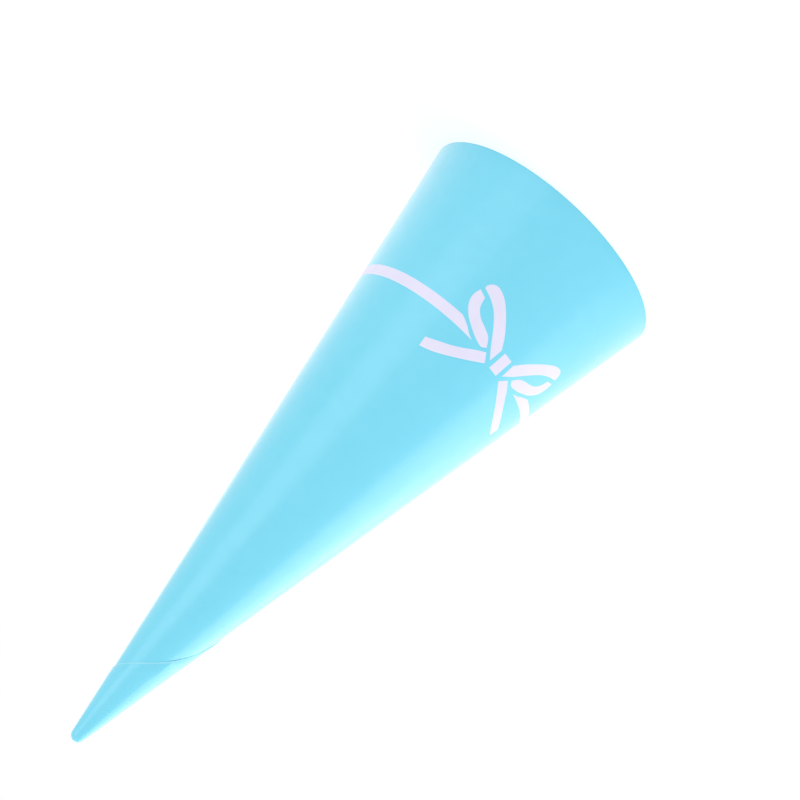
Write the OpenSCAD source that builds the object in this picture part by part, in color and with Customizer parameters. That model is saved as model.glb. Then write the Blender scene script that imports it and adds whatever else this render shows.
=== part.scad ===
// Paper cone sleeve, rolled from one flat blank and glued along an oblique seam.
// It stands on its mouth with the closed tip up, and the origin is the centre of the mouth.
// Azimuths are seen from the axis: 0 is the printed front (-Y), and they grow towards -X.

/* [Cone] */
// Outside diameter of the mouth, measured on a single thickness of paper
mouth_d = 58.8; // [45:0.1:80]
// Full opening angle of the cone
cone_angle = 22.5; // [18:0.5:28]
// Outside radius of the blunt closed tip
tip_r = 1.5; // [1:0.1:3]

/* [Paper] */
// Thickness of the paper
paper_t = 0.2; // [0.1:0.05:0.3]
// Width, at the mouth, over which a turn climbs onto the blank's inner edge
climb_w = 4; // [2:0.5:8]

/* [Seam] */
// Shortest distance from the cone's point to the blank's straight outer edge
seam_reach = 19; // [14:0.5:30]
// Azimuth at which that outer edge arrives at the mouth
seam_azimuth = 203; // [170:1:240]
// Width of the glued lap at the mouth
mouth_lap = 13; // [8:0.5:25]

/* [Hidden] */

// Light sky-blue paper
paper_colour = [0.49, 0.87, 0.96];

half_angle = cone_angle / 2;
mouth_r = mouth_d / 2;
// Distance along the wall from the cone's point to the mouth
mouth_slant = mouth_r / sin(half_angle);
point_z = mouth_r / tan(half_angle);

// Offsets through the rolled wall, from its inner face outwards
inner_face = 0;
first_face = paper_t;
outer_face = 2 * paper_t;

// Centre height of the dome that closes the tip
dome_z = (mouth_r + (paper_t - tip_r) / cos(half_angle)) / tan(half_angle);
dome_steps = 5;

// Azimuths of the blank's inner edge, and of the foot of the climb onto it
lap_azimuth = seam_azimuth + mouth_lap / mouth_r * 180 / PI - 360;
climb_foot = lap_azimuth + climb_w / mouth_r * 180 / PI;
// Where the inner edge fades out, near the tip
edge_end_slant = 14;
// Widest angle between two sections of the wall
section_step = 4;
// Points of the wall this close to the mouth lie in its plane
hair = 0.001;

// The blank's outer edge is straight when flat, so its slant distance follows one cosine once rolled
seam_end_turn = acos(seam_reach / mouth_slant);
function seam_slant(azimuth) =
    seam_reach / cos(seam_end_turn - (seam_azimuth - azimuth) * sin(half_angle));

// Radius and height on the straight wall, a slant distance from the cone's point and an offset into it
function wall_point(slant, offset) = [
    slant * sin(half_angle) + (offset - first_face) / cos(half_angle),
    mouth_slant - slant > hair ? point_z - slant * cos(half_angle) : 0
];

// Radii and heights up the dome of a face, from the straight wall to the axis
function dome_points(offset) =
    let (dome_r = tip_r - outer_face + offset)
    [for (i = [0:dome_steps])
        let (rise = half_angle + (90 - half_angle) * i / dome_steps)
        [dome_r * cos(rise), dome_z + dome_r * sin(rise)]];

function reversed(list) = [for (i = [len(list) - 1:-1:0]) list[i]];

// Section of the wall, up its inside and down its outside to the mouth.
// Below seam_at the outer turn has ended, and what is left runs from inner_offset to outer_offset.
function section(seam_at, inner_offset, outer_offset) = concat(
    [
        wall_point(mouth_slant, inner_offset),
        wall_point(edge_end_slant, inner_offset),
        wall_point(edge_end_slant, inner_face)
    ],
    dome_points(inner_face),
    reversed(dome_points(outer_face)),
    [
        wall_point(seam_at, outer_face),
        wall_point(seam_at, outer_offset),
        wall_point(mouth_slant, outer_offset),
        wall_point(mouth_slant, first_face)
    ]
);

function turned(azimuth, points) =
    [for (point = points) [-point[0] * sin(azimuth), -point[0] * cos(azimuth), point[1]]];

// Shares from 0 to 1 that divide an angle into equal steps
function shares(angle) =
    let (steps = ceil(angle / section_step))
    [for (i = [0:steps]) i / steps];

// Glued lap, two sheets thick down to the mouth, where the seam's end runs out into the outer face
function lap_sections() =
    let (from = seam_azimuth - 360, angle = lap_azimuth - from)
    [for (share = shares(angle))
        turned(
            from + angle * share,
            section(mouth_slant + (seam_slant(lap_azimuth) - mouth_slant) * share, inner_face, outer_face)
        )];

// Climb, where the sheet that covers the inner edge comes down to the inner face
function climb_sections() =
    let (angle = climb_foot - lap_azimuth)
    [for (share = shares(angle))
        let (azimuth = lap_azimuth + angle * share, drop = paper_t * share)
        turned(azimuth, section(seam_slant(azimuth), first_face - drop, outer_face - drop))];

// The rest of the way round, where the outer turn ends at the seam and leaves a single sheet below it
function seam_sections() =
    let (angle = seam_azimuth - climb_foot)
    [for (share = shares(angle))
        let (azimuth = climb_foot + angle * share)
        turned(azimuth, section(seam_slant(azimuth), inner_face, first_face))];

// Closed skin over a full round of like-sided sections
module ring_loft(sections) {
    sides = len(sections[0]);
    columns = len(sections);
    polyhedron(
        points = [for (section = sections) each section],
        faces = [for (i = [0:columns - 1], j = [0:sides - 1])
            let (
                here = i * sides,
                next = (i + 1) % columns * sides,
                k = (j + 1) % sides
            )
            each [
                [here + j, here + k, next + k],
                [here + j, next + k, next + j]
            ]]
    );
}

// The rolled sheet: a closed first turn, and an outer turn that ends at the seam
module sleeve() {
    color(paper_colour)
        ring_loft(concat(lap_sections(), climb_sections(), seam_sections()));
}

sleeve();
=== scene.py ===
"""Dresses the paper cone sleeve: the rolled sheet with its printed ribbon bow, the floor, the lamps
and the camera.

Lengths are in millimetres up to place(), which gives metres. Azimuths are in degrees, seen from the
axis: 0 is the printed front (-Y), and they grow towards -X. A slant is a distance from the cone's
point along its wall.
"""

import math

import bpy
from mathutils import Matrix, Vector
from mathutils.geometry import delaunay_2d_cdt


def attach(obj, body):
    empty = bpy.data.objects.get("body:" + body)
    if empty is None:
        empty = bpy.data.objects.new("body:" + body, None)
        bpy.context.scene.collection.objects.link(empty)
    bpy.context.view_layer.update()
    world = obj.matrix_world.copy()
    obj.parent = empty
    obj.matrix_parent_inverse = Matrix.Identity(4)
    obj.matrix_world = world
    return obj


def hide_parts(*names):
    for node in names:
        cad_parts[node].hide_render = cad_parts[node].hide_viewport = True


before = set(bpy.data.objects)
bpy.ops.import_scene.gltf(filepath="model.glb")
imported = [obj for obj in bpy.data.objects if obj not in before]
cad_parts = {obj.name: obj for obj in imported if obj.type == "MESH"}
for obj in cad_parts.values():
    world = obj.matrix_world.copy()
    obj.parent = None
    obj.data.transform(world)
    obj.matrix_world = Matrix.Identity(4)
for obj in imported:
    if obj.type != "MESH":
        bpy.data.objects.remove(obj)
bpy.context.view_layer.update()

MM = 0.001

# The rolled sheet
MOUTH_D = 58.8
CONE_ANGLE = 22.5
TIP_R = 1.5
PAPER_T = 0.2
CLIMB_W = 4.0
SEAM_REACH = 19.0
SEAM_AZIMUTH = 203.0
MOUTH_LAP = 13.0
INNER_EDGE_END = 14.0

# The stretch of the seam that the glue leaves free: its middle, its reach to each side, the width of
# the free strip, and how far its edge stands off
FREE_AZIMUTH = 41.0
FREE_SPREAD = 33.0
FREE_W = 2.2
FREE_LIFT = 0.06
# The cut along the seam: how far it slants back, and through what share of the paper's thickness
BEVEL_W = 0.3
BEVEL_SHARE = 0.75

# The printed ribbon, the middle of its knot, and where its tapered ends begin
RIBBON_SLANT = 118.0
RIBBON_W = 2.4
KNOT_AZIMUTH = 28.45
KNOT_SLANT = 117.87
RIBBON_END_X = 12.9

# How finely the sheet is divided, and how near a row may come to a line of its own
AZIMUTH_STEP = 2.0
SLANT_STEP = 6.0
ROW_GAP = 1.0
DOME_STEPS = 8
CURVE_STEPS = 5

# Differences too small to matter: between two measures, between two spots of the flat wall, in the
# area of a face, and in the digits of two corners in metres. A slope is taken over twice PROBE.
NEAR = 1e-6
SAME_SPOT = 1e-5
NO_AREA = 1e-16
CORNER_DIGITS = 9
PROBE = 0.05

HALF = math.radians(CONE_ANGLE / 2)
SIN, COS = math.sin(HALF), math.cos(HALF)
MOUTH_R = MOUTH_D / 2
MOUTH_SLANT = MOUTH_R / SIN
POINT_Z = MOUTH_R / math.tan(HALF)
DOME_Z = (MOUTH_R + (PAPER_T - TIP_R) / COS) / math.tan(HALF)

# Offsets through the rolled wall, from its inner face outwards
INNER, FIRST, OUTER = 0.0, PAPER_T, 2 * PAPER_T

# Azimuths of the blank's inner edge, of the foot of the climb onto it, and of the whole round
CREST = SEAM_AZIMUTH + math.degrees(MOUTH_LAP / MOUTH_R) - 360
FOOT = CREST + math.degrees(CLIMB_W / MOUTH_R)
ROUND_END = CREST + 360
QUARTER_TURN = 90
SEAM_END_TURN = math.acos(SEAM_REACH / MOUTH_SLANT)

RIBBON_EDGES = [RIBBON_SLANT - RIBBON_W / 2, RIBBON_SLANT + RIBBON_W / 2]
RIBBON_END_TURN = math.atan2(RIBBON_END_X, KNOT_SLANT)
RIBBON_GAP = math.degrees(RIBBON_END_TURN) / SIN

# The sheet's finishes, in the order of their slots: name, colour and mottled colour from 0 to 255,
# roughness, depth of the grain, and weight of the smooth coat
FINISHES = [
    ("blue_paper", (117, 221, 246), (112, 218, 244), 0.36, 0.006, 1.0),
    ("white_ribbon", (238, 233, 254), (234, 229, 252), 0.5, 0.006, 0.3),
    ("sleeve_inside", (243, 244, 242), (234, 236, 235), 0.7, 0.02, 0.0),
    ("cut_edge", (150, 230, 249), (138, 226, 247), 0.45, 0.006, 0.8),
]
OUTSIDE, PRINT, INSIDE, CUT_EDGE = range(len(FINISHES))
PAPER_IOR = 1.5
COAT_ROUGHNESS = 0.25
ROUGHNESS_SPREAD = 0.03
# Scale and detail of the paper's noises, the fibres' stretch, and their share of the grain's depth
MOTTLE = (260, 5)
FIBRES = (2600, 3)
CLOUDS = (55, 2)
FIBRE_STRETCH = (1, 1, 0.35)
FIBRE_SHARE = 0.5
# The values between which nearly all of a noise lies
NOISE_LOW, NOISE_HIGH = 0.3, 0.7

# What a camera or a mirror sees round the object is plain white, and what lights it is a level of
# its own
SKY_LEVEL = 0.905
WHITE = (1, 1, 1, 1)
FLOOR_SIZE = 6.0
FLOOR_BELOW = 0.05
FLOOR_GLOW = 0.4
FLOOR_GREY = (218, 222, 224)
FLOOR_ROUGHNESS = 0.9

# The soft boxes: name, azimuth, width in metres, and how bright they look, where 1 is white
LAMPS = [
    ("back_panel", 180, 1.0, 0.4),
    ("side_panel", 104, 1.1, 1.4),
    ("front_panel", -43, 0.55, 0.8),
]
LAMP_HEIGHT = 0.9
LAMP_DISTANCE = 0.8
LAMP_ELEVATION = 10
# The height on the axis that they look at
LAMP_AIM = 70.0

CAMERA_EYE = (0.0, -391.7, 151.2)
CAMERA_RIGHT = (-0.72896, -0.17871, -0.66082)
CAMERA_FORWARD = (-0.0027, 0.96607, -0.25828)
CAMERA_LENS = 87.03
CAMERA_SENSOR = 36.0
CAMERA_NEAREST = 0.01


def seam_turn(azimuth):
    """Flat angle between a line up the wall and the shortest line to the seam."""
    return SEAM_END_TURN - math.radians(SEAM_AZIMUTH - azimuth) * SIN


def line_slant(azimuth, back=0.0):
    """Slant of the seam's free edge, or of a line that runs a distance back from it."""
    return min((SEAM_REACH - back) / math.cos(seam_turn(azimuth)), MOUTH_SLANT)


def line_azimuth(slant, back=0.0):
    """Azimuth at which that line has run a given slant."""
    turn = math.acos((SEAM_REACH - back) / slant) - SEAM_END_TURN
    return SEAM_AZIMUTH + math.degrees(turn) / SIN


# Azimuths at which the top of the slanted cut reaches the mouth, and between which the seam is free
BEVEL_END = line_azimuth(MOUTH_SLANT, BEVEL_W)
FREE_START, FREE_END = FREE_AZIMUTH - FREE_SPREAD, FREE_AZIMUTH + FREE_SPREAD


def free_width(azimuth):
    """Width of the strip along the seam that isn't glued down."""
    share = max(1 - abs(azimuth - FREE_AZIMUTH) / FREE_SPREAD, 0.0)
    return FREE_W * share * share * (3 - 2 * share)


def seam_distance(azimuth, slant):
    """How far back from the seam's free edge a point of the outer turn lies."""
    return SEAM_REACH - slant * math.cos(seam_turn(azimuth))


def lift(azimuth, slant):
    """How far that strip stands off the turn under it."""
    width = free_width(azimuth)
    inward = seam_distance(azimuth, slant)
    if width < NEAR or inward >= width:
        return 0.0
    return FREE_LIFT * (width / FREE_W) ** 2 * (1 - max(inward, 0.0) / width) ** 2


def drop(azimuth):
    """How far a turn has come down from the blank's inner edge to the inner face."""
    return PAPER_T * min(max((azimuth - CREST) / (FOOT - CREST), 0.0), 1.0)


def bevel_width(azimuth):
    """Width of the slanted cut, which grows over the climb."""
    return BEVEL_W * drop(azimuth) / PAPER_T


def outer_offset(azimuth, slant):
    """The outer turn's outer face, down its slanted cut to the edge."""
    width, inward = bevel_width(azimuth), seam_distance(azimuth, slant)
    if width < NEAR or inward >= width:
        return OUTER + lift(azimuth, slant)
    cut = 1 - max(inward, 0.0) / width
    return OUTER + lift(azimuth, slant) - cut * BEVEL_SHARE * drop(azimuth)


def underside_offset(azimuth, slant):
    """The underside of the free strip."""
    return FIRST + lift(azimuth, slant)


def first_offset(azimuth, slant):
    """The first turn's outer face."""
    return OUTER - drop(azimuth)


def inner_offset(azimuth, slant):
    """The inner face, with the hollow beside the blank's inner edge."""
    hollow = azimuth < FOOT and slant > INNER_EDGE_END - NEAR
    return FIRST - drop(azimuth) if hollow else INNER


def plain_inner_offset(azimuth, slant):
    """The inner face where no hollow is."""
    return INNER


def place(azimuth, slant, offset):
    """A point of the wall in metres, in the CAD frame."""
    radius = slant * SIN + (offset - FIRST) / COS
    height = POINT_Z - slant * COS if MOUTH_SLANT - slant > NEAR else 0.0
    turn = math.radians(azimuth)
    return Vector((-radius * math.sin(turn), -radius * math.cos(turn), height)) * MM


def wall_normal(azimuth, slant, offset):
    """Outward normal of a face of the wall, with the slope of its offset."""
    slant = min(slant, MOUTH_SLANT - 2 * PROBE)

    def spot(by_azimuth, by_slant):
        at = azimuth + by_azimuth, slant + by_slant
        return place(*at, offset(*at))

    across = spot(PROBE, 0) - spot(-PROBE, 0)
    along = spot(0, PROBE) - spot(0, -PROBE)
    return across.cross(along).normalized()


class Skin:
    """Faces with a position and a normal for each corner, welded into one closed mesh."""

    def __init__(self):
        self.points, self.index, self.faces, self.normals, self.slots = [], {}, [], [], []

    def point(self, position):
        """Number of the mesh's point at a position, new or already there."""
        key = tuple(round(c, CORNER_DIGITS) for c in position)
        if key not in self.index:
            self.index[key] = len(self.points)
            self.points.append(position)
        return self.index[key]

    def face(self, positions, normals, slot):
        """Adds a face, turned the way its normals point. Corners that fall together are left out."""
        corners = []
        for position, normal in zip(positions, normals):
            k = self.point(position)
            if k not in [c[0] for c in corners]:
                corners.append((k, normal))
        if len(corners) < 3:
            return
        a, b, c = (self.points[corners[i][0]] for i in range(3))
        if (b - a).cross(c - a).dot(sum((n for _, n in corners), Vector((0, 0, 0)))) < 0:
            corners.reverse()
        self.faces.append([k for k, _ in corners])
        self.normals += [n for _, n in corners]
        self.slots.append(slot)

    def flat_face(self, positions, towards, slot):
        """Adds a face with its own flat normal, on the side that towards points to."""
        a, b, c = positions[:3]
        normal = (b - a).cross(c - a)
        if normal.length < NO_AREA:
            normal = (positions[2] - a).cross(positions[-1] - a)
        normal = normal.normalized() if normal.length else towards.normalized()
        if normal.dot(towards) < 0:
            normal = normal * -1
        self.face(positions, [normal] * len(positions), slot)

    def open_edges(self):
        """How many edges aren't shared by two faces that agree on which side is out."""
        used = {}
        for corners in self.faces:
            for a, b in zip(corners, corners[1:] + corners[:1]):
                used[a, b] = used.get((a, b), 0) + 1
        return sum(1 for (a, b), n in used.items() if n != 1 or used.get((b, a), 0) != 1)

    def build(self, name, materials):
        """The mesh as an object, with one material for each slot."""
        mesh = bpy.data.meshes.new(name)
        mesh.from_pydata(self.points, [], self.faces)
        for material in materials:
            mesh.materials.append(material)
        mesh.polygons.foreach_set("material_index", self.slots)
        mesh.polygons.foreach_set("use_smooth", [True] * len(mesh.polygons))
        mesh.normals_split_custom_set([tuple(n) for n in self.normals])
        mesh.update()
        piece = bpy.data.objects.new(name, mesh)
        bpy.context.scene.collection.objects.link(piece)
        return piece


# Outlines of the bow's right half in the flat blank, about the middle of the knot: x towards growing
# azimuths and y towards the mouth. Each outline is a row of smooth runs that meet at corners.
FRONT_STRAND = [
    [(2.2, 2.0), (4.2, 4.4), (7.1, 7.1), (9.8, 9.0), (12.0, 9.7), (13.3, 9.4), (14.1, 8.4), (14.1, 7.6)],
    [(14.1, 7.6), (11.6, 6.9), (9.2, 5.6), (6.8, 3.4), (4.4, 0.8), (2.3, -1.2)],
]
BACK_STRAND = [
    [(14.5, 6.7), (14.7, 5.4), (14.5, 4.1), (13.9, 3.0), (12.9, 2.0), (11.8, 1.2), (9.5, 0.1), (7.8, -0.5)],
    [(7.8, -0.5), (6.4, -0.8), (5.6, -0.8)],
    [(4.8, -0.1)],
    [(5.6, 1.0), (6.5, 1.7), (8.2, 2.3), (9.6, 2.7), (10.8, 3.3), (11.7, 4.1), (12.2, 5.0), (12.6, 6.2)],
]
TAIL = [
    [(4.1, -0.7), (5.9, -2.0), (7.7, -3.5), (10.0, -5.2), (13.2, -7.1), (14.7, -7.9)],
    [(14.2, -10.0), (11.9, -9.0), (9.6, -7.6), (6.4, -5.3), (4.3, -3.7), (2.6, -2.35)],
]
KNOT = [[(1.2, 2.15)], [(1.2, -2.15)], [(-1.2, -2.15)], [(-1.2, 2.15)]]


def smooth_run(points):
    """The points of a run with others between them, on a curve through them all."""
    if len(points) < 3:
        return points
    points = [Vector(p) for p in points]
    ends = [2 * points[0] - points[1]] + points + [2 * points[-1] - points[-2]]
    run = []
    for a, b, c, d in zip(ends, ends[1:], ends[2:], ends[3:]):
        for i in range(CURVE_STEPS):
            t = i / CURVE_STEPS
            spot = 2 * b + (c - a) * t + (2 * a - 5 * b + 4 * c - d) * t**2
            run.append(0.5 * (spot + (3 * b - a - 3 * c + d) * t**3))
    return [tuple(p) for p in run] + [tuple(points[-1])]


def ribbon_corner(slant):
    """Where the ribbon, at the given slant, passes into its tapered end."""
    return slant * math.sin(RIBBON_END_TURN), slant * math.cos(RIBBON_END_TURN) - KNOT_SLANT


def ribbon_end():
    """The end of the ribbon that tapers to a point against the back strand."""
    low, high = RIBBON_EDGES
    point = (8.0, -1.4)
    return [
        [ribbon_corner(high), (11.7, 0.2), (10.7, -0.2), (9.4, -0.9), point],
        [point, ribbon_corner(low)],
    ]


def flat_outline(runs, side):
    """A closed outline in the flat blank, on the right (1) or mirrored to the left (-1)."""
    outline = []
    for run in runs:
        for x, y in smooth_run(run):
            if not outline or math.dist(outline[-1], (side * x, y)) > NEAR:
                outline.append((side * x, y))
    return outline


def rolled(x, y):
    """Azimuth and slant of a point of the flat blank about the knot."""
    turn = math.atan2(x, KNOT_SLANT + y)
    return KNOT_AZIMUTH + math.degrees(turn) / SIN, math.hypot(KNOT_SLANT + y, x)


def bow_outlines():
    """All outlines of the bow on the rolled wall."""
    flat = [flat_outline(KNOT, 1)]
    for side in (1, -1):
        flat += [flat_outline(runs, side) for runs in (FRONT_STRAND, BACK_STRAND, TAIL, ribbon_end())]
    return [[rolled(x, y) for x, y in outline] for outline in flat]


def inside(point, outline):
    """True if the point lies in the closed outline."""
    x, y = point
    crossed = False
    for (ax, ay), (bx, by) in zip(outline, outline[1:] + outline[:1]):
        if (ay > y) != (by > y) and x < ax + (bx - ax) * (y - ay) / (by - ay):
            crossed = not crossed
    return crossed


BOW = bow_outlines()


def printed(azimuth, slant):
    """True where the blank is printed."""
    off_knot = abs((azimuth - KNOT_AZIMUTH + 180) % 360 - 180)
    if RIBBON_EDGES[0] < slant < RIBBON_EDGES[1] and off_knot > RIBBON_GAP:
        return True
    return any(inside((azimuth, slant), outline) for outline in BOW)


def dome_slant(offset):
    """Slant at which a face of the wall passes into its dome."""
    return (POINT_Z - DOME_Z - (TIP_R - OUTER + offset) * SIN) / COS


def azimuth_columns():
    """Azimuths of the lines that divide the wall, with those where two lines of the seam meet."""
    fixed = [CREST, FOOT, FREE_START, FREE_END, SEAM_AZIMUTH, BEVEL_END, ROUND_END]
    fixed += [KNOT_AZIMUTH - RIBBON_GAP, KNOT_AZIMUTH + RIBBON_GAP]
    fixed += [line_azimuth(slant, back) for slant in RIBBON_EDGES for back in (0.0, BEVEL_W)]
    fixed.sort()
    columns = []
    for a, b in zip(fixed, fixed[1:]):
        steps = math.ceil((b - a) / AZIMUTH_STEP)
        columns += [a + (b - a) * i / steps for i in range(steps)]
    return columns + [ROUND_END]


COLUMNS = azimuth_columns()


def between(low, high):
    """The columns from one azimuth to another."""
    return [a for a in COLUMNS if low - NEAR < a < high + NEAR]


def slant_rows(low, high):
    """Slants that divide the wall from its dome to the mouth, with the ribbon's edges and the seam's."""
    steps = math.ceil((high - low) / SLANT_STEP)
    rows = [low + (high - low) * i / steps for i in range(steps + 1)]
    fixed = RIBBON_EDGES + [line_slant(CREST)]
    rows = [r for r in rows if min(abs(r - f) for f in fixed) > ROW_GAP]
    return sorted(rows + fixed)


def wall_face(skin, azimuths, low, high, offset, outlines, slot_at, outward=1):
    """Adds a face of the wall between two slants, cut along the ribbon's edges and the outlines."""
    rows = slant_rows(dome_slant(OUTER), MOUTH_SLANT)
    spots, edges, columns = [], [], []
    for azimuth in azimuths:
        bottom, top = low(azimuth), high(azimuth)
        slants = [bottom] + [r for r in rows if bottom + NEAR < r < top - NEAR] + [top]
        if top - bottom < NEAR:
            slants = [top]
        column = list(range(len(spots), len(spots) + len(slants)))
        spots += [(azimuth, slant) for slant in slants]
        edges += list(zip(column, column[1:]))
        columns.append(column)
    for left, right in zip(columns, columns[1:]):
        edges += [(left[0], right[0]), (left[-1], right[-1])]
        for edge in RIBBON_EDGES:
            ends = [[k for k in side if abs(spots[k][1] - edge) < NEAR] for side in (left, right)]
            if all(ends):
                edges.append((ends[0][0], ends[1][0]))
    for outline in outlines:
        loop = list(range(len(spots), len(spots) + len(outline)))
        spots += outline
        edges += list(zip(loop, loop[1:] + loop[:1]))
    edges = [e for e in edges if e[0] != e[1]]
    flat = [Vector(spot) for spot in spots]
    points, _, faces, origins, _, _ = delaunay_2d_cdt(flat, edges, [], 0, SAME_SPOT, True)
    found = [spots[origin[0]] if origin else tuple(point) for point, origin in zip(points, origins)]
    for corners in faces:
        at = [found[k] for k in corners]
        middle = tuple(sum(c[i] for c in at) / len(at) for i in (0, 1))
        if not within(middle, azimuths, low, high):
            continue
        positions = [place(a, s, offset(a, s)) for a, s in at]
        normals = [wall_normal(a, s, offset) * outward for a, s in at]
        skin.face(positions, normals, slot_at(*middle))


def within(spot, azimuths, low, high):
    """True if the spot lies between the two slants, taken straight from one azimuth to the next."""
    azimuth, slant = spot
    for a, b in zip(azimuths, azimuths[1:]):
        if a <= azimuth <= b:
            share = (azimuth - a) / (b - a)
            bottom = low(a) + (low(b) - low(a)) * share
            top = high(a) + (high(b) - high(a)) * share
            return bottom < slant < top
    return False


def dome_end(azimuth):
    """Slant at which the outer face leaves its dome."""
    return dome_slant(OUTER)


def mouth(azimuth):
    """Slant of the mouth."""
    return MOUTH_SLANT


def first_turn_start(azimuth):
    """Slant at which the first turn's outer face comes out from under the outer turn."""
    return line_slant(azimuth, free_width(azimuth))


def outer_turn_end(azimuth):
    """Slant at which the outer turn's face reaches its slanted cut, or the mouth."""
    return line_slant(azimuth, bevel_width(azimuth)) if azimuth < BEVEL_END - NEAR else MOUTH_SLANT


def outer_slot(azimuth, slant):
    return PRINT if printed(azimuth, slant) else OUTSIDE


def bare_slot(azimuth, slant):
    return INSIDE


def cut_slot(azimuth, slant):
    return CUT_EDGE


def add_outside(skin):
    """The outer faces of both turns, the slanted cut, and the underside of the free strip."""
    below_seam = between(CREST, SEAM_AZIMUTH)
    cut = between(CREST, BEVEL_END)
    free = between(FREE_START, FREE_END)
    wall_face(skin, COLUMNS, dome_end, outer_turn_end, outer_offset, [], outer_slot)
    wall_face(skin, below_seam, first_turn_start, mouth, first_offset, BOW, outer_slot)
    wall_face(skin, cut, outer_turn_end, line_slant, outer_offset, [], cut_slot)
    wall_face(skin, free, first_turn_start, line_slant, underside_offset, [], bare_slot, -1)


def strip(skin, azimuths, start, end, towards, slot):
    """A row of flat faces between two lines, each given by a function of the azimuth."""
    for a, b in zip(azimuths, azimuths[1:]):
        skin.flat_face([start(a), start(b), end(b), end(a)], towards(a), slot)


def add_cut_edges(skin):
    """The sheet's cut edges: along the seam, round the mouth and up the inner edge."""
    down = Vector((0, 0, -1))

    def seam_top(azimuth):
        slant = line_slant(azimuth)
        return place(azimuth, slant, outer_offset(azimuth, slant))

    def seam_foot(azimuth):
        slant = line_slant(azimuth)
        offset = first_offset if azimuth < FOOT else underside_offset
        return place(azimuth, slant, offset(azimuth, slant))

    def down_wall(azimuth):
        slant = line_slant(azimuth)
        return place(azimuth, slant + 1, FIRST) - place(azimuth, slant, FIRST) + down * MM

    def at_mouth(offset):
        return lambda azimuth: place(azimuth, MOUTH_SLANT, offset(azimuth, MOUTH_SLANT))

    def level(offset):
        return lambda azimuth, slant: offset

    strip(skin, between(CREST, SEAM_AZIMUTH), seam_top, seam_foot, down_wall, CUT_EDGE)
    rings = [
        (CREST, FOOT, inner_offset, first_offset),
        (FOOT, ROUND_END, level(INNER), level(FIRST)),
        (SEAM_AZIMUTH, BEVEL_END, level(FIRST), outer_offset),
        (BEVEL_END, ROUND_END, level(FIRST), level(OUTER)),
    ]
    for low, high, start, end in rings:
        strip(skin, between(low, high), at_mouth(start), at_mouth(end), lambda azimuth: down, CUT_EDGE)

    rows = [s for s in inner_rows() if s > INNER_EDGE_END - NEAR]
    aside = place(CREST + QUARTER_TURN, MOUTH_SLANT, FIRST)
    for a, b in zip(rows, rows[1:]):
        spots = [(a, INNER), (b, INNER), (b, FIRST), (a, FIRST)]
        skin.flat_face([place(CREST, slant, offset) for slant, offset in spots], aside, CUT_EDGE)


def inner_rows():
    """Slants that divide the inner face, with the end of the blank's inner edge."""
    low = dome_slant(INNER)
    steps = math.ceil((MOUTH_SLANT - INNER_EDGE_END) / SLANT_STEP)
    rows = [INNER_EDGE_END + (MOUTH_SLANT - INNER_EDGE_END) * i / steps for i in range(steps + 1)]
    return [low] + rows


def add_inside(skin):
    """The inner face, with the hollow beside the blank's inner edge."""
    rows = inner_rows()
    for a, b in zip(COLUMNS, COLUMNS[1:]):
        for low, high in zip(rows, rows[1:]):
            # Above its end the edge has faded out, so both of its corners there lie on the inner face.
            level = inner_offset if low > INNER_EDGE_END - NEAR else plain_inner_offset
            spots = [(a, low), (b, low), (b, high), (a, high)]
            positions = [place(azimuth, slant, level(azimuth, slant)) for azimuth, slant in spots]
            if b > ROUND_END - NEAR:
                positions[1:3] = [place(b, slant, INNER) for slant in (low, high)]
            normals = [wall_normal(azimuth, slant, plain_inner_offset) * -1 for azimuth, slant in spots]
            skin.face(positions, normals, INSIDE)
        if b < FOOT + NEAR:
            corners = [(a, INNER), (b, INNER)] + [(c, inner_offset(c, MOUTH_SLANT)) for c in (b, a)]
            positions = [place(azimuth, INNER_EDGE_END, offset) for azimuth, offset in corners]
            skin.flat_face(positions, Vector((0, 0, -1)), INSIDE)


def add_dome(skin, offset, slot, outward):
    """The dome that closes one face of the wall at the tip."""
    radius = TIP_R - OUTER + offset
    centre = Vector((0, 0, DOME_Z * MM))

    def direction(azimuth, i):
        rise = HALF + (math.pi / 2 - HALF) * i / DOME_STEPS
        flat = math.cos(rise) if i < DOME_STEPS else 0.0
        turn = math.radians(azimuth)
        return Vector((-flat * math.sin(turn), -flat * math.cos(turn), math.sin(rise)))

    def spot(azimuth, i):
        if i == 0:
            return place(azimuth, dome_slant(offset), offset)
        return centre + direction(azimuth, i) * radius * MM

    for a, b in zip(COLUMNS, COLUMNS[1:]):
        for i in range(DOME_STEPS):
            corners = [(a, i), (b, i), (b, i + 1), (a, i + 1)]
            skin.face([spot(*c) for c in corners], [direction(*c) * outward for c in corners], slot)


def linear(*colour):
    """A colour as written, from 0 to 255, turned into the light values that the shaders take."""
    shares = [c / 255 for c in colour]
    return [s / 12.92 if s <= 0.04045 else ((s + 0.055) / 1.055) ** 2.4 for s in shares] + [1.0]


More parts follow.
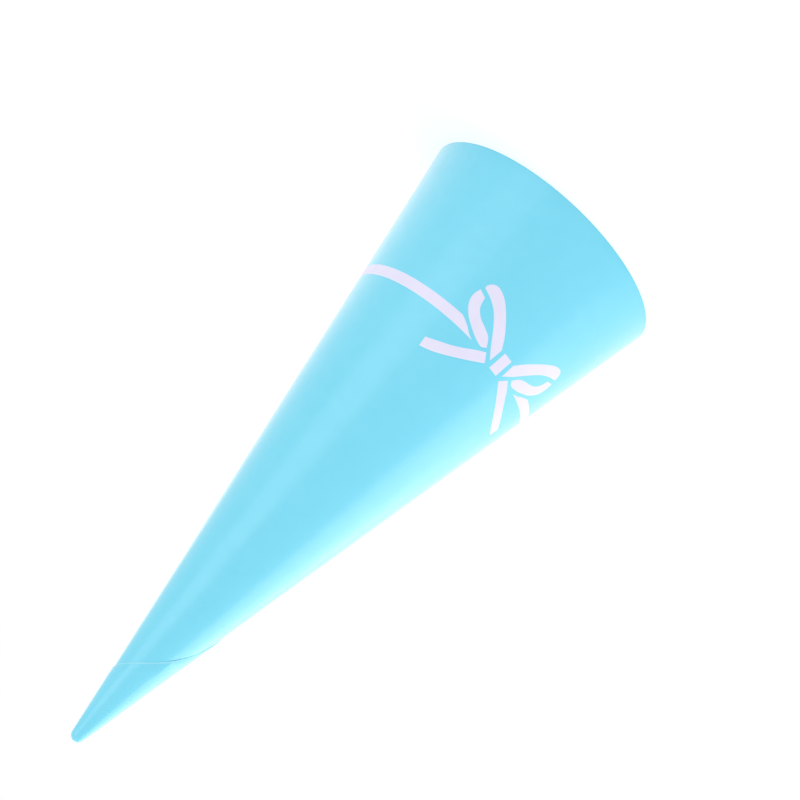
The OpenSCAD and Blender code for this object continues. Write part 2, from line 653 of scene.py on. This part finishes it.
def paper_material(name, colour, deep, roughness, grain, coat):
    """Paper: a colour mottled between two tones, and pressed fibres in its bump and roughness."""
    material = bpy.data.materials.new(name)
    material.use_nodes = True
    nodes, links = material.node_tree.nodes, material.node_tree.links
    shader = nodes["Principled BSDF"]
    shader.inputs["IOR"].default_value = PAPER_IOR
    shader.inputs["Coat Weight"].default_value = coat
    shader.inputs["Coat Roughness"].default_value = COAT_ROUGHNESS
    where = nodes.new("ShaderNodeTexCoord")

    def noise(scale, detail, stretch=(1, 1, 1)):
        mapping = nodes.new("ShaderNodeMapping")
        mapping.inputs["Scale"].default_value = stretch
        texture = nodes.new("ShaderNodeTexNoise")
        texture.inputs["Scale"].default_value = scale
        texture.inputs["Detail"].default_value = detail
        links.new(where.outputs["Object"], mapping.inputs["Vector"])
        links.new(mapping.outputs["Vector"], texture.inputs["Vector"])
        return texture.outputs["Fac"]

    def spread(value, low, high):
        ranged = nodes.new("ShaderNodeMapRange")
        ranged.inputs["From Min"].default_value = NOISE_LOW
        ranged.inputs["From Max"].default_value = NOISE_HIGH
        ranged.inputs["To Min"].default_value = low
        ranged.inputs["To Max"].default_value = high
        links.new(value, ranged.inputs["Value"])
        return ranged.outputs["Result"]

    def bump(height, depth):
        node = nodes.new("ShaderNodeBump")
        node.inputs["Strength"].default_value = 1.0
        node.inputs["Distance"].default_value = depth * MM
        links.new(height, node.inputs["Height"])
        return node

    mottle = noise(*MOTTLE)
    fibres = noise(*FIBRES, FIBRE_STRETCH)
    clouds = noise(*CLOUDS)
    mixed = nodes.new("ShaderNodeMix")
    mixed.data_type = "RGBA"
    mixed.inputs["A"].default_value = linear(*colour)
    mixed.inputs["B"].default_value = linear(*deep)
    both = nodes.new("ShaderNodeMath")
    both.operation = "MULTIPLY"
    links.new(spread(mottle, 0.0, 1.0), both.inputs[0])
    links.new(spread(clouds, 0.5, 1.0), both.inputs[1])
    links.new(both.outputs["Value"], mixed.inputs["Factor"])
    links.new(mixed.outputs["Result"], shader.inputs["Base Color"])
    ranged = spread(mottle, roughness - ROUGHNESS_SPREAD, roughness + ROUGHNESS_SPREAD)
    links.new(ranged, shader.inputs["Roughness"])

    coarse = bump(mottle, grain)
    fine = bump(fibres, grain * FIBRE_SHARE)
    links.new(coarse.outputs["Normal"], fine.inputs["Normal"])
    links.new(fine.outputs["Normal"], shader.inputs["Normal"])
    return material


def make_sleeve():
    skin = Skin()
    add_outside(skin)
    add_cut_edges(skin)
    add_inside(skin)
    add_dome(skin, OUTER, OUTSIDE, 1)
    add_dome(skin, INNER, INSIDE, -1)
    print("sleeve:", len(skin.faces), "faces,", skin.open_edges(), "open edges")
    sleeve = skin.build("rolled_sleeve", [paper_material(*finish) for finish in FINISHES])
    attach(sleeve, "root")
    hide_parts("sleeve")


def seen_directly(nodes, links):
    """1 on rays from the camera, a mirror or glass."""
    rays = nodes.new("ShaderNodeLightPath")
    value = rays.outputs["Is Camera Ray"]
    for kind in ("Is Glossy Ray", "Is Transmission Ray"):
        most = nodes.new("ShaderNodeMath")
        most.operation = "MAXIMUM"
        links.new(value, most.inputs[0])
        links.new(rays.outputs[kind], most.inputs[1])
        value = most.outputs["Value"]
    return value


def make_sky():
    world = bpy.data.worlds.new("studio")
    bpy.context.scene.world = world
    world.use_nodes = True
    nodes, links = world.node_tree.nodes, world.node_tree.links
    strength = nodes.new("ShaderNodeMapRange")
    strength.inputs["To Min"].default_value = SKY_LEVEL
    strength.inputs["To Max"].default_value = 1.0
    links.new(seen_directly(nodes, links), strength.inputs["Value"])
    background = nodes["Background"]
    background.inputs["Color"].default_value = WHITE
    links.new(strength.outputs["Result"], background.inputs["Strength"])


def make_floor():
    mesh = bpy.data.meshes.new("floor")
    half = FLOOR_SIZE / 2
    corners = [(-half, -half), (half, -half), (half, half), (-half, half)]
    mesh.from_pydata([(x, y, -FLOOR_BELOW * MM) for x, y in corners], [], [(0, 1, 2, 3)])
    floor = bpy.data.objects.new("floor", mesh)
    bpy.context.scene.collection.objects.link(floor)
    material = bpy.data.materials.new("white_floor")
    material.use_nodes = True
    nodes, links = material.node_tree.nodes, material.node_tree.links
    shader = nodes["Principled BSDF"]
    shader.inputs["Base Color"].default_value = linear(*FLOOR_GREY)
    shader.inputs["Roughness"].default_value = FLOOR_ROUGHNESS
    shader.inputs["Specular IOR Level"].default_value = 0.0
    shader.inputs["Emission Color"].default_value = WHITE
    glow = nodes.new("ShaderNodeMath")
    glow.operation = "MULTIPLY"
    glow.inputs[1].default_value = FLOOR_GLOW
    links.new(seen_directly(nodes, links), glow.inputs[0])
    links.new(glow.outputs["Value"], shader.inputs["Emission Strength"])
    mesh.materials.append(material)


def make_lamp(name, azimuth, width, level):
    """A soft box that looks at the middle of the sleeve, as bright as its level says."""
    turn, rise = math.radians(azimuth), math.radians(LAMP_ELEVATION)
    flat = math.cos(rise)
    away = Vector((-math.sin(turn) * flat, -math.cos(turn) * flat, math.sin(rise)))
    data = bpy.data.lights.new(name, "AREA")
    data.shape = "RECTANGLE"
    data.size, data.size_y = width, LAMP_HEIGHT
    data.energy = level * math.pi * width * LAMP_HEIGHT
    lamp = bpy.data.objects.new(name, data)
    lamp.location = Vector((0, 0, LAMP_AIM * MM)) + away * LAMP_DISTANCE
    lamp.rotation_euler = away.to_track_quat("Z", "Y").to_euler()
    bpy.context.scene.collection.objects.link(lamp)


def make_camera():
    """The photograph's view: from in front and a little above, rolled so that the tip points down
    to the left."""
    eye = Vector(CAMERA_EYE) * MM
    forward = Vector(CAMERA_FORWARD).normalized()
    up = Vector(CAMERA_RIGHT).cross(forward).normalized()
    right = forward.cross(up)
    data = bpy.data.cameras.new("camera")
    data.lens = CAMERA_LENS
    data.sensor_width = CAMERA_SENSOR
    data.clip_start = CAMERA_NEAREST
    camera = bpy.data.objects.new("camera", data)
    axes = Matrix((right, up, -forward)).transposed().to_4x4()
    camera.matrix_world = Matrix.Translation(eye) @ axes
    bpy.context.scene.collection.objects.link(camera)
    bpy.context.scene.camera = camera


make_camera()
make_sleeve()
make_sky()
make_floor()
for lamp in LAMPS:
    make_lamp(*lamp)

bpy.context.scene.view_settings.view_transform = "Standard"
